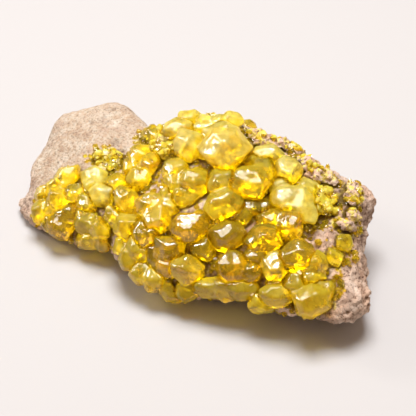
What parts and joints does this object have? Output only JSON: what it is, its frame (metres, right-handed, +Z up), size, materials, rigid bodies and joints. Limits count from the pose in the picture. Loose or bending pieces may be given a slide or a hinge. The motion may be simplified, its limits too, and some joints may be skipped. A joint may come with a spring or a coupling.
{
  "type": "native sulfur crystal specimen",
  "caption": "Long slab of pitted matrix rock with a thick crust of glassy, rounded, translucent yellow sulfur crystals on its upper side; stands on a flat break.",
  "frame": {"origin": "the middle of the flat base, under the middle of the bounding box", "axes": "+X along the slab towards its rough end, -Y towards the crystal face, +Z up"},
  "size_m": [0.1256, 0.0692, 0.0428],
  "materials": {
    "rock": "rough, granular, pitted, beige to taupe",
    "sulfur": "resinous to glassy, translucent lemon to honey yellow",
    "crust": "glassy small crystals, translucent pale yellow"
  },
  "bodies": {
    "root": {"amber_crystals": "sulfur", "amber_slab_crystals": "sulfur", "back_crest_crystals": "sulfur", "back_pocket_crystals": "sulfur", "back_slope_crust": "crust", "back_slope_crystals": "sulfur", "bright_crystals": "sulfur", "centre_crystal": "sulfur", "crown_crust": "crust", "crown_crystals": "sulfur", "crown_top_crystals": "sulfur", "dark_glassy_crystal": "sulfur", "egg_crystals": "sulfur", "fringe_crystals": "sulfur", "front_dome_crystals": "sulfur", "front_rim_crystals": "sulfur", "gully_crust": "crust", "gully_crystal": "sulfur", "honey_crystal": "sulfur", "inner_left_crystals": "sulfur", "inner_right_crystals": "sulfur", "knob_crust": "crust", "ledge_crystal": "sulfur", "left_crest_crystal": "sulfur", "left_glassy_crystals": "sulfur", "left_hanging_crystals": "sulfur", "left_saddle_crystal": "sulfur", "left_toe_crystals": "sulfur", "left_wing_crystals": "sulfur", "lower_centre_crystals": "sulfur", "matrix_rock": "rock", "pale_crystals": "sulfur", "pale_egg_crystals": "sulfur", "pentagon_crystals": "sulfur", "ridge_crust": "crust", "right_corner_crystals": "sulfur", "right_dome_crystal": "sulfur", "right_face_crust": "crust", "right_pair_crystals": "sulfur", "right_ridge_crust": "crust", "rim_spur_crystal": "sulfur", "saddle_crystals": "sulfur", "shoulder_crystals": "sulfur", "slab_edge_crust": "crust", "streak_crystals": "sulfur", "striped_crystals": "sulfur", "tilted_crystals": "sulfur", "upper_fringe_crystals": "sulfur", "upper_left_crystals": "sulfur", "wedge_crystals": "sulfur"}
  },
  "joints": []
}
